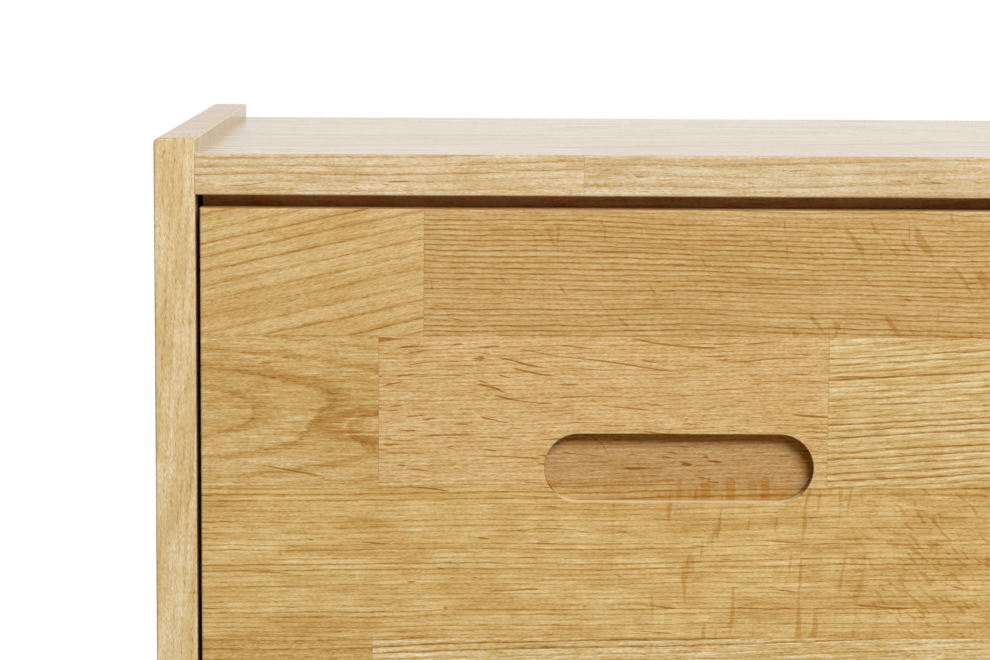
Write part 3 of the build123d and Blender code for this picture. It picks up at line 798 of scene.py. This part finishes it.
def drawer_front_oak(oak):
    """Oak of the drawer front, with each stave as it lies in the real front."""
    material, graph, shader = new_material("oak_front")
    (along, across, deep), facing = board_place(graph, FACING)
    end = end_grain(graph, facing)
    deep = graph.minus(deep, CAD_BOX[0].y * PER_METRE)
    step, joint = drawer_staves(graph, along, across)
    staves = [stave for _, row in DRAWER_ROWS for stave in row]
    values = {}
    for name in Stave._fields[1:-1]:
        rows = [getattr(stave, name) for stave in staves]
        shift = -min(min(row) for row in rows)
        shifted = graph.table(step, [tuple(value + shift for value in row) for row in rows])
        values[name] = graph.vector("SUBTRACT", shifted, (shift, shift, shift))
    seed = graph.split(graph.table(step, [(stave.seed, 0.0, 0.0) for stave in staves]))[0]
    grain = graph.group("Oak grain", position=graph.join(along, across, deep), seed=seed, end=end, **values)
    colour = finished(graph, shader, grain, joint, oak, FRONT_LACQUER)

    # The finger recess
    floor, wall, painted_shadow, plunge = recess_masks(graph, along, across, deep)
    # The cut tint darkens the recess floor outside the painted shadow: partly the cut wood, partly painted
    # shade
    colour = graph.tinted(graph.dimmed(floor, painted_shadow, 1.0), colour, oak.cut_and_shade_tint)
    # Painted shadow on the recess floor under its upper and right walls
    colour = graph.tinted(graph.times(floor, painted_shadow), colour, oak.painted_shadow_tint)
    colour = graph.tinted(graph.times(floor, plunge), colour, WALL_TINT)
    colour = graph.tinted(graph.times(floor, floor_rays(graph, along, across)), colour, FLOOR_RAY_TINT)
    upward = graph.ease(facing[1], *UPWARD_STEP)
    # Walls that don't face up: end-grain brown with painted shade
    colour = graph.tinted(graph.dimmed(wall, upward, 1.0), colour, WALL_TINT)
    # Painted highlight on the up-facing wall near the rim
    painted_rim_sheen = graph.times(graph.times(wall, upward), graph.ease(deep, *RIM_SHEEN_STEP))
    graph.feed(shader["Base Color"], graph.mix(painted_rim_sheen, colour, RIM_SHEEN_COLOUR))
    graph.feed(shader["Coat Weight"], graph.times_plus(floor, -FRONT_LACQUER, FRONT_LACQUER))
    return material


def recess_masks(graph, along, across, deep):
    """Where the floor and the wall of the finger recess are, where a painted shadow darkens its floor near
    its upper and right wall, and the round mark where the cutter was let in."""
    past_straight = graph.minus(graph.absolute(along), RECESS_REACH - RECESS_RADIUS)
    off_end = graph.times(graph.number("SIGN", along), graph.larger(past_straight, 0.0))
    off_middle = graph.minus(across, RECESS_UP)
    squares = graph.times_plus(off_end, off_end, graph.times(off_middle, off_middle))
    radius = graph.larger(graph.root(squares), 1.0)
    inside = graph.below(radius, RECESS_RADIUS + RECESS_RIM)
    floor = graph.times(inside, graph.ease(deep, *FLOOR_STEP))
    wall = graph.times(graph.dimmed(inside, floor, 1.0), graph.ease(deep, *WALL_STEP))
    # Painted shadow: strongest near the upper and right walls, which shade the floor
    towards = graph.times_plus(off_end, SHADOW_RIGHT, graph.times(off_middle, SHADOW_UP))
    side = graph.ease(graph.over(towards, radius), *SHADOW_TURN)
    painted_shadow = graph.times(side, graph.ease(radius, *SHADOW_STEP))
    from_left = graph.plus(along, RECESS_REACH - RECESS_RADIUS)
    let_in = graph.times_plus(from_left, from_left, graph.times(off_middle, off_middle))
    off_mark = graph.absolute(graph.minus(graph.root(let_in), PLUNGE_RADIUS))
    plunge = graph.times(graph.ease(off_mark, *PLUNGE_LINE), graph.ease(off_middle, *PLUNGE_STEP))
    plunge = graph.times(plunge, graph.above(from_left, 0.0))
    return floor, wall, painted_shadow, plunge


def floor_rays(graph, along, across):
    """How far the short rays in the floor of the finger recess show, with ragged ends."""
    place = graph.join(along, across, 0.0)
    shown = 0.0
    for middle, breadth, strength in FLOOR_RAYS:
        off = graph.absolute(graph.minus(along, middle))
        inner, outer = breadth / 2 - FLOOR_RAY_INSIDE, breadth / 2 + FLOOR_RAY_OUTSIDE
        shown = graph.larger(shown, graph.ease(off, inner, outer, strength, 0.0))
    ragged = graph.times_plus(graph.noise(place, *RAGGED), RAGGED_REACH, across)
    shown = graph.times(shown, graph.ease(ragged, *FLOOR_RAY_TOP))
    return graph.times(shown, graph.ease(graph.noise(place, *PALE_SPOTS), *PALE_STEP))


# Plywood, dowels, steel and felt: noise as in the oak, in millimetres

PLY_THICKNESS = 1.2
PLY_FIGURE, PLY_FIGURE_WEIGHT = ((120.0, 9.0, 9.0), 3.0), 0.55
PLY_FIBRES, PLY_FIBRE_WEIGHT = ((14.0, 0.6, 0.6), 2.0), 0.40
PLY_ENDS, PLY_ENDS_WEIGHT, PLY_ENDS_DARKEN = ((0.5, 0.5, 0.5), 2.0), 0.3, -0.5
PLY_GLUE, PLY_GLUE_TINT = (0.02, 0.10, 1.0, 0.0), (0.45, 0.32, 0.2)
PLY_EDGE = (0.5, 0.8, 1.0, 0.0)
PLY_ROUGH, PLY_ROUGH_REACH, PLY_GLUE_RELIEF = 0.45, 0.15, -0.5

STEEL_LINES, LINES_WEIGHT = ((40.0, 0.25, 0.25), 2.0), 0.3
STEEL_CLOUDS, STEEL_CLOUD_WEIGHT = ((9.0, 6.0, 6.0), 3.0), 0.30
SCRATCHES, SCRATCH_STEP = ((9.0, 0.3, 0.5), 0.0), (0.72, 0.80)
STEEL_ROUGH, CLOUDS_ROUGHEN, SCRATCHES_ROUGHEN, CUT_ROUGHENS = 0.20, 0.25, 0.15, 0.3
# Brown of the cut ends: partly bare steel, partly painted shade that darkens the runners seen beside the
# drawer front
CUT_END_AND_SHADE = (0.30, 0.19, 0.11)

FELT_FUZZ, FUZZ_WEIGHT = ((0.25, 0.25, 0.25), 4.0), 1.2
FELT_CLOUDS, FELT_CLOUD_WEIGHT = ((3.0, 3.0, 3.0), 2.0), 0.4


def plywood_group():
    """Birch plywood: plain birch on its faces, and crossing plies with dark glue at its edges."""
    graph, given, result = new_group(
        "Plywood", [("Position", VECTOR), ("Wood", COLOUR), ("Edge", FLOAT)], FINISH_SOCKETS)
    _, _, deep = graph.split(given["Position"])
    figure = graph.noise(given["Position"], *PLY_FIGURE)
    fibre = graph.noise(given["Position"], *PLY_FIBRES)
    light = graph.times_plus(graph.minus(figure, 0.5), PLY_FIGURE_WEIGHT, 1.0)
    light = graph.times_plus(graph.minus(fibre, 0.5), PLY_FIBRE_WEIGHT, light)
    face = graph.scaled(given["Wood"], light)
    ply = graph.over(deep, PLY_THICKNESS)
    crossing = graph.number("MODULO", graph.floor(ply), 2.0)
    glue = graph.ease(graph.off_whole(ply, 0.5), *PLY_GLUE)
    ends = graph.times_plus(graph.noise(given["Position"], *PLY_ENDS), PLY_ENDS_WEIGHT, PLY_ENDS_DARKEN)
    edge = graph.scaled(face, graph.times_plus(graph.absolute(crossing), ends, 1.0))
    edge = graph.tinted(glue, edge, PLY_GLUE_TINT)
    graph.feed(result["Color"], graph.mix(given["Edge"], face, edge))
    graph.feed(result["Roughness"], graph.times_plus(fibre, PLY_ROUGH_REACH, PLY_ROUGH))
    graph.feed(result["Height"], graph.times_plus(glue, PLY_GLUE_RELIEF, fibre))


def plated_steel_group():
    """Rolled and plated steel: fine lines along the strip, cloudy plating and small scratches."""
    graph, given, result = new_group(
        "Plated steel", [("Position", VECTOR), ("Metal", COLOUR), ("Brushing", FLOAT)], FINISH_SOCKETS)
    lines = graph.noise(given["Position"], *STEEL_LINES)
    cloud = graph.noise(given["Position"], *STEEL_CLOUDS)
    scratch = graph.ease(graph.noise(given["Position"], *SCRATCHES), *SCRATCH_STEP)
    light = graph.times_plus(graph.minus(cloud, 0.5), STEEL_CLOUD_WEIGHT, 1.0)
    brushed = graph.times(given["Brushing"], LINES_WEIGHT)
    light = graph.times_plus(graph.minus(lines, 0.5), brushed, light)
    graph.feed(result["Color"], graph.scaled(given["Metal"], light))
    rough = graph.times_plus(cloud, CLOUDS_ROUGHEN, STEEL_ROUGH)
    graph.feed(result["Roughness"], graph.times_plus(scratch, SCRATCHES_ROUGHEN, rough))
    graph.feed(result["Height"], graph.times_plus(scratch, -1.0, graph.times(lines, given["Brushing"])))


def surfaced(graph, shader, look, metallic):
    """Feeds a Principled shader with the colour, roughness and height of a group."""
    graph.feed(shader["Base Color"], look["Color"])
    graph.feed(shader["Roughness"], look["Roughness"])
    shader["Metallic"].default_value = metallic
    add_relief(graph, shader, look["Height"], *PLAIN_RELIEF)


def steel(name, metal, brushing, cut_ends=False):
    """Plated steel whose rolling lines run into the chest, dull and brown where a strip is cut off: bare
    steel with painted shade in the brown.
    """
    material, graph, shader = new_material(name)
    place, facing = board_place(graph, RUNNING_IN)
    look = graph.group("Plated steel", position=graph.join(*place), metal=(*metal, 1.0), brushing=brushing)
    surfaced(graph, shader, look, metallic=1.0)
    if cut_ends:
        end = end_grain(graph, facing)
        # Cut ends: dull bare steel with painted shade in their brown
        graph.feed(shader["Base Color"], graph.tinted(end, look["Color"], CUT_END_AND_SHADE))
        graph.feed(shader["Roughness"], graph.times_plus(end, CUT_ROUGHENS, look["Roughness"]))
    return material


def plywood(name, wood, axes, middle, veneer_seed=None):
    """Plywood whose plies lie across the last axis, about the sheet's middle, or oak veneer on it."""
    material, graph, shader = new_material(name)
    (along, across, deep), facing = board_place(graph, axes)
    edge = graph.ease(graph.absolute(facing[2]), *PLY_EDGE)
    deep = graph.minus(deep, middle * PER_METRE - PLY_THICKNESS / 2)
    look = graph.group("Plywood", position=graph.join(along, across, deep), wood=(*wood, 1.0), edge=edge)
    surfaced(graph, shader, look, metallic=0.0)
    if veneer_seed:
        grain, _ = staved_grain(graph, graph.join(along, across, 0.0), VENEER, veneer_seed, 0.0)
        graph.feed(shader["Base Color"], graph.mix(edge, grain["Color"], look["Color"]))
    return material


def felt(name, colour):
    """Pressed wool felt."""
    material, graph, shader = new_material(name)
    place = graph.scaled(graph.add("ShaderNodeTexCoord").outputs["Object"], PER_METRE)
    fuzz = graph.noise(place, *FELT_FUZZ)
    clouds = graph.noise(place, *FELT_CLOUDS)
    light = graph.times_plus(graph.minus(fuzz, 0.5), FUZZ_WEIGHT, 1.0)
    light = graph.times_plus(graph.minus(clouds, 0.5), FELT_CLOUD_WEIGHT, light)
    graph.feed(shader["Base Color"], graph.scaled(colour, light))
    shader["Roughness"].default_value = 0.95
    shader["Sheen Weight"].default_value = 0.4
    add_relief(graph, shader, fuzz, *FELT_RELIEF)
    return material


# Operators, one for each piece or group of like pieces and one for the stage

class ChestOperator:
    """What the chest's operators share."""

    bl_options = {"REGISTER", "UNDO"}


class CHEST_OT_shared_groups(ChestOperator, bpy.types.Operator):
    """Builds the node groups that the finishes share"""

    bl_idname = "chest.shared_groups"
    bl_label = "Shared node groups"

    def execute(self, context):
        oak_grain_group(context.scene.chest.oak)
        glued_staves_group()
        plywood_group()
        plated_steel_group()
        return {"FINISHED"}


class CHEST_OT_drawer_front(ChestOperator, bpy.types.Operator):
    """Dresses the drawer front in its own staves"""

    bl_idname = "chest.drawer_front"
    bl_label = "Drawer front"

    def execute(self, context):
        dress(drawer_front_oak(context.scene.chest.oak), "drawer_front")
        return {"FINISHED"}


class CHEST_OT_carcass(ChestOperator, bpy.types.Operator):
    """Dresses the sides, the top and the bottom in glued oak"""

    bl_idname = "chest.carcass"
    bl_label = "Carcass boards"

    def execute(self, context):
        oak = context.scene.chest.oak
        front = CAD_BOX[0].y * PER_METRE
        side = board_oak("oak_side", oak, STANDING, front + SIDE_JOINT, seed=5.0, lacquer=SIDE_LACQUER,
                         stave_length=SIDE_STAVE_LENGTH, hand=True, **SIDE_LOOK)
        dress(side, "left_side", "right_side")
        top = board_oak("oak_top", oak, LYING, front + TOP_JOINT, seed=12.0, lacquer=TOP_LACQUER,
                        slide=TOP_SLIDE, **TOP_LOOK)
        dress(top, "top_panel", "bottom_panel")
        return {"FINISHED"}


class CHEST_OT_back_panel(ChestOperator, bpy.types.Operator):
    """Dresses the back panel in oak veneer on plywood"""

    bl_idname = "chest.back_panel"
    bl_label = "Back panel"

    def execute(self, context):
        low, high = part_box("back_panel")
        wood = context.scene.chest.fittings.birch
        axes = (UP, ACROSS_CHEST, INTO_CHEST)
        dress(plywood("oak_veneer", wood, axes, (low.y + high.y) / 2, veneer_seed=31.0), "back_panel")
        return {"FINISHED"}


class CHEST_OT_drawer_box(ChestOperator, bpy.types.Operator):
    """Dresses the drawer box and the stop rail in oak, and the floor of the box in birch plywood"""

    bl_idname = "chest.drawer_box"
    bl_label = "Drawer box and stop rail"

    def execute(self, context):
        oak, birch = context.scene.chest.oak, context.scene.chest.fittings.birch
        _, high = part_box("box_front")
        joint_at = high.z * PER_METRE - BOX_JOINT
        ends = board_oak("oak_box_ends", oak, FACING, joint_at, seed=21.0)
        dress(ends, "box_front", "box_back")
        # The rail's tint is painted light in the gap above the drawer front
        dress(board_oak("oak_rail", oak, FACING, joint_at, seed=22.0, **RAIL_PAINTED_LIGHT), "stop_rail")
        sides = board_oak("oak_box_sides", oak, RUNNING_IN, joint_at, seed=24.0, hand=True)
        dress(sides, "box_left_side", "box_right_side")
        low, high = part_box("box_floor")
        dress(plywood("birch_ply", birch, LYING, (low.z + high.z) / 2), "box_floor")
        return {"FINISHED"}


class CHEST_OT_dowels(ChestOperator, bpy.types.Operator):
    """Dresses the carcass dowels in beech"""

    bl_idname = "chest.dowels"
    bl_label = "Dowels"

    def execute(self, context):
        wood = context.scene.chest.fittings.beech
        dress(plywood("beech", wood, LYING, 0.0), "carcass_dowels")
        return {"FINISHED"}


class CHEST_OT_runners(ChestOperator, bpy.types.Operator):
    """Dresses the runners, their ball cages and their balls in steel"""

    bl_idname = "chest.runners"
    bl_label = "Runners"

    def execute(self, context):
        fittings = context.scene.chest.fittings
        rolled = steel("runner_steel", fittings.zinc, brushing=1.0, cut_ends=True)
        caged = steel("cage_steel", fittings.cage, brushing=0.4)
        ball = steel("ball_steel", fittings.ball, brushing=0.0)
        for material, parts in (
            (rolled, ("cabinet_runner", "middle_runner", "drawer_runner")),
            (caged, ("outer_cage", "inner_cage")), (ball, ("outer_balls", "inner_balls")),
        ):
            for hand in ("left", "right"):
                dress(material, *(f"{hand}_{part}" for part in parts))
        return {"FINISHED"}


class CHEST_OT_screws(ChestOperator, bpy.types.Operator):
    """Dresses the screws in yellow-passivated zinc"""

    bl_idname = "chest.screws"
    bl_label = "Screws"

    def execute(self, context):
        material = steel("screw_zinc", context.scene.chest.fittings.screw, brushing=0.2)
        dress(material, "back_screws", "rail_screws", "front_screws",
              "cabinet_runner_screws", "drawer_runner_screws")
        return {"FINISHED"}


class CHEST_OT_foot_pads(ChestOperator, bpy.types.Operator):
    """Makes the felt pads under the chest, swollen a little by its weight"""

    bl_idname = "chest.foot_pads"
    bl_label = "Foot pads"

    def execute(self, context):
        fittings = context.scene.chest.fittings
        low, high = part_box("foot_pads")
        mesh = bpy.data.meshes.new("felt_pads")
        shape = bmesh.new()
        for x in (low.x + PAD_RADIUS, high.x - PAD_RADIUS):
            for y in (low.y + PAD_RADIUS, high.y - PAD_RADIUS):
                felt_pad(shape, Vector((x, y, low.z)), high.z - low.z, fittings)
        bmesh.ops.recalc_face_normals(shape, faces=shape.faces)
        shape.to_mesh(mesh)
        shape.free()
        pads = bpy.data.objects.new("felt_pads", mesh)
        context.scene.collection.objects.link(pads)
        pads.data.materials.append(felt("felt", fittings.felt))
        for polygon in mesh.polygons:
            polygon.use_smooth = True
        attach(pads, "carcass")
        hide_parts("foot_pads")
        return {"FINISHED"}


PAD_RADIUS = 0.007
PAD_SIDES = 40
PAD_LAYERS = 4
RIM_STEPS = 3
SAME_PLACE = 1e-6


def felt_pad(shape, foot, height, fittings):
    """Adds one round pad that stands on a point and bulges between its rims."""
    radius = PAD_RADIUS - fittings.felt_bulge
    made = bmesh.ops.create_cone(
        shape, cap_ends=True, segments=PAD_SIDES, radius1=radius, radius2=radius, depth=height,
        matrix=Matrix.Translation(foot + Vector((0, 0, height / 2))))
    verts = made["verts"]
    upright = [edge for edge in shape.edges if edge.verts[0] in verts
               and abs(edge.verts[0].co.z - edge.verts[1].co.z) > height / 2]
    cut = bmesh.ops.subdivide_edges(shape, edges=upright, cuts=PAD_LAYERS - 1)
    for vert in {item for item in cut["geom_split"] if isinstance(item, bmesh.types.BMVert)}:
        share = (vert.co.z - foot.z) / height
        out = (vert.co - foot).xy
        if out.length > PAD_RADIUS / 2:
            swell = fittings.felt_bulge * math.sin(math.pi * share)
            vert.co.xy = foot.xy + out * (1 + swell / out.length)
    rim = [edge for edge in shape.edges if all(
        abs(vert.co.z - foot.z) < SAME_PLACE and (vert.co - foot).length < 2 * PAD_RADIUS
        for vert in edge.verts)]
    bmesh.ops.bevel(shape, geom=rim, offset=fittings.felt_round, segments=RIM_STEPS, profile=0.5,
                    affect="EDGES", material=-1)


class CHEST_OT_stage(ChestOperator, bpy.types.Operator):
    """Sets up the floor, the light and the camera"""

    bl_idname = "chest.stage"
    bl_label = "Stage"

    def execute(self, context):
        stage = context.scene.chest.stage
        make_floor(context.scene, stage)
        make_surround(context.scene, stage)
        for name in ("key", "back"):
            make_lamp(context.scene, stage, name)
        make_camera(context.scene, stage)
        context.scene.view_settings.view_transform = "Standard"
        return {"FINISHED"}


FLOOR_SIDES = 96
WHITE = (1.0, 1.0, 1.0, 1.0)


def make_floor(scene, stage):
    """A pale round floor that keeps the chest's shadow and otherwise shows white."""
    mesh = bpy.data.meshes.new("floor")
    shape = bmesh.new()
    bmesh.ops.create_circle(shape, cap_ends=True, segments=FLOOR_SIDES, radius=stage.floor_radius)
    shape.to_mesh(mesh)
    shape.free()
    floor = bpy.data.objects.new("floor", mesh)
    scene.collection.objects.link(floor)
    material, graph, shader = new_material("pale_floor")
    rays = graph.add("ShaderNodeLightPath").outputs
    shader["Base Color"].default_value = (*[stage.floor_shade] * 3, 1.0)
    shader["Roughness"].default_value = 0.9
    shader["Specular IOR Level"].default_value = 0.0
    shader["Emission Color"].default_value = WHITE
    graph.feed(shader["Emission Strength"], graph.times(rays["Is Camera Ray"], stage.floor_lift))
    mesh.materials.append(material)


def make_surround(scene, stage):
    """White to the eye and in reflections, and a plain soft light for the rest."""
    world = bpy.data.worlds.new("surround")
    scene.world = world
    world.use_nodes = True
    graph = Graph(world.node_tree)
    background = world.node_tree.nodes["Background"]
    rays = graph.add("ShaderNodeLightPath").outputs
    seen = graph.larger(rays["Is Camera Ray"], rays["Is Glossy Ray"])
    seen = graph.larger(seen, rays["Is Transmission Ray"])
    background.inputs["Color"].default_value = WHITE
    strength = graph.times_plus(seen, 1.0 - stage.surround, stage.surround)
    graph.feed(background.inputs["Strength"], strength)


def make_lamp(scene, stage, name):
    """A large soft lamp that looks at the chest and doesn't mirror in its lacquer."""
    power, azimuth, elevation = (
        getattr(stage, f"{name}_{what}") for what in ("power", "azimuth", "elevation"))
    light = bpy.data.lights.new(name, "AREA")
    light.shape = "RECTANGLE"
    light.size = stage.lamp_size
    light.size_y = stage.lamp_height
    light.energy = power
    lamp = bpy.data.objects.new(name, light)
    scene.collection.objects.link(lamp)
    across = math.cos(elevation)
    aim = Vector((math.sin(azimuth) * across, -math.cos(azimuth) * across, math.sin(elevation)))
    centre = (CAD_BOX[0] + CAD_BOX[1]) / 2
    lamp.location = centre + aim * stage.lamp_distance
    lamp.rotation_mode = "QUATERNION"
    lamp.rotation_quaternion = aim.to_track_quat("Z", "Y")
    lamp.visible_camera = False
    lamp.visible_glossy = False


def make_camera(scene, stage):
    """The camera in front of the chest's left half, looking a little down."""
    lens = bpy.data.cameras.new("camera")
    lens.sensor_width = SENSOR_WIDTH
    lens.lens = stage.focal_pixels / PICTURE_WIDTH * SENSOR_WIDTH
    camera = bpy.data.objects.new("camera", lens)
    scene.collection.objects.link(camera)
    place = Vector((stage.camera_side, CAD_BOX[0].y - stage.camera_distance, stage.camera_height))
    yaw = Matrix.Rotation(-stage.camera_yaw, 4, "Z")
    pitch = Matrix.Rotation(math.pi / 2 - stage.camera_pitch, 4, "X")
    roll = Matrix.Rotation(stage.camera_roll, 4, "Z")
    camera.matrix_world = Matrix.Translation(place) @ yaw @ pitch @ roll
    scene.camera = camera


OPERATORS = (
    CHEST_OT_stage,
    CHEST_OT_shared_groups,
    CHEST_OT_drawer_front,
    CHEST_OT_carcass,
    CHEST_OT_back_panel,
    CHEST_OT_drawer_box,
    CHEST_OT_dowels,
    CHEST_OT_runners,
    CHEST_OT_screws,
    CHEST_OT_foot_pads,
)


class CHEST_PT_panel(bpy.types.Panel):
    """Lists the chest's operators and settings."""

    bl_idname = "CHEST_PT_panel"
    bl_label = "Oak chest"
    bl_space_type = "VIEW_3D"
    bl_region_type = "UI"
    bl_category = "Oak chest"

    def draw(self, context):
        for operator in OPERATORS:
            self.layout.operator(operator.bl_idname)
        chest = context.scene.chest
        for settings in (chest.oak, chest.fittings, chest.stage):
            box = self.layout.box()
            for name in settings.__annotations__:
                box.prop(settings, name)


CLASSES = (OakSettings, FittingSettings, StageSettings, ChestSettings, *OPERATORS, CHEST_PT_panel)


def register():
    for item in CLASSES:
        bpy.utils.register_class(item)
    bpy.types.Scene.chest = PointerProperty(type=ChestSettings)


def unregister():
    del bpy.types.Scene.chest
    for item in reversed(CLASSES):
        bpy.utils.unregister_class(item)


def main():
    """Registers the classes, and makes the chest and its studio."""
    register()
    for operator in OPERATORS:
        group, name = operator.bl_idname.split(".")
        if getattr(getattr(bpy.ops, group), name)() != {"FINISHED"}:
            raise RuntimeError(f"{operator.bl_idname} didn't finish")


if __name__ == "__main__":
    main()
